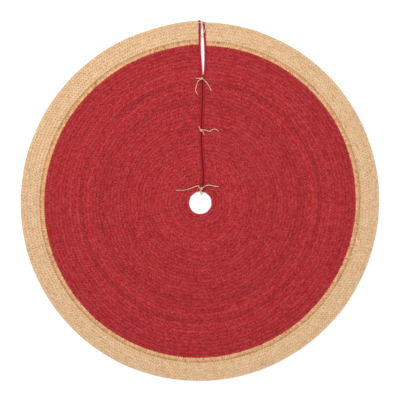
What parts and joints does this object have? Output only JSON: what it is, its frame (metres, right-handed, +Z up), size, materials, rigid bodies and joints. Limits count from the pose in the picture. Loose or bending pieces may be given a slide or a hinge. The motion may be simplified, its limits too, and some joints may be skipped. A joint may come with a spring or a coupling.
{
  "type": "tree skirt",
  "caption": "Round flat tree skirt of sewn jute braid with a trunk hole, bound slit tied with twine, and quarters that fold.",
  "frame": {"origin": "centre of the rim circle, on the floor that the skirt lies on", "axes": "+Z up out of the skirt's patterned face, +Y from the centre along the slit to the rim, +X to the right of the slit seen from above"},
  "size_m": [1.2694, 1.2694, 0.0154],
  "materials": {
    "red_jute": "matte",
    "golden_jute": "matte",
    "natural_jute": "matte",
    "red_tape": "matte",
    "red_thread": "matte",
    "jute_twine": "matte"
  },
  "bodies": {
    "right_back": {"right_back_accent_turn": "golden_jute", "right_back_border": "natural_jute", "right_back_field_band_1": "red_jute", "right_back_field_band_2": "red_jute", "right_back_field_band_3": "red_jute", "right_back_field_band_4": "red_jute", "right_back_field_band_5": "red_jute", "right_back_field_band_6": "red_jute"},
    "left_back": {"left_back_accent_turn": "golden_jute", "left_back_border": "natural_jute", "left_back_field_band_1": "red_jute", "left_back_field_band_2": "red_jute", "left_back_field_band_3": "red_jute", "left_back_field_band_4": "red_jute", "left_back_field_band_5": "red_jute", "left_back_field_band_6": "red_jute"},
    "left_front": {"hole_tie_knot": "jute_twine", "hole_tie_left_tail": "jute_twine", "hole_tie_loop": "jute_twine", "left_binding_seam": "red_thread", "left_front_accent_turn": "golden_jute", "left_front_border": "natural_jute", "left_front_field_band_1": "red_jute", "left_front_field_band_2": "red_jute", "left_front_field_band_3": "red_jute", "left_front_field_band_4": "red_jute", "left_front_field_band_5": "red_jute", "left_front_field_band_6": "red_jute", "left_slit_binding": "red_tape", "middle_tie_knot": "jute_twine", "middle_tie_upper_end": "jute_twine", "outer_tie_knot": "jute_twine", "outer_tie_left_end": "jute_twine", "outer_tie_left_tail": "jute_twine", "rim_tie_crossing": "jute_twine", "rim_tie_hanging_end": "jute_twine"},
    "right_front": {"hole_tie_right_tail": "jute_twine", "middle_tie_lower_end": "jute_twine", "middle_tie_tail": "jute_twine", "outer_tie_right_tail": "jute_twine", "right_binding_seam": "red_thread", "right_front_accent_turn": "golden_jute", "right_front_border": "natural_jute", "right_front_field_band_1": "red_jute", "right_front_field_band_2": "red_jute", "right_front_field_band_3": "red_jute", "right_front_field_band_4": "red_jute", "right_front_field_band_5": "red_jute", "right_front_field_band_6": "red_jute", "right_slit_binding": "red_tape", "rim_tie_knot": "jute_twine", "rim_tie_tail": "jute_twine"}
  },
  "joints": [
    {"name": "half_fold", "type": "hinge", "parent": "right_back", "child": "left_back", "pos_m": [0.0085, 0, 0.0248], "axis": [0, 1, 0], "range_deg": [0, 180]},
    {"name": "left_flap_fold", "type": "hinge", "parent": "left_back", "child": "left_front", "pos_m": [-0.3, 0, 0.012], "axis": [1, 0, 0], "range_deg": [0, 180]},
    {"name": "right_flap_fold", "type": "hinge", "parent": "right_back", "child": "right_front", "pos_m": [0.3, 0, 0.012], "axis": [1, 0, 0], "range_deg": [0, 180]}
  ]
}
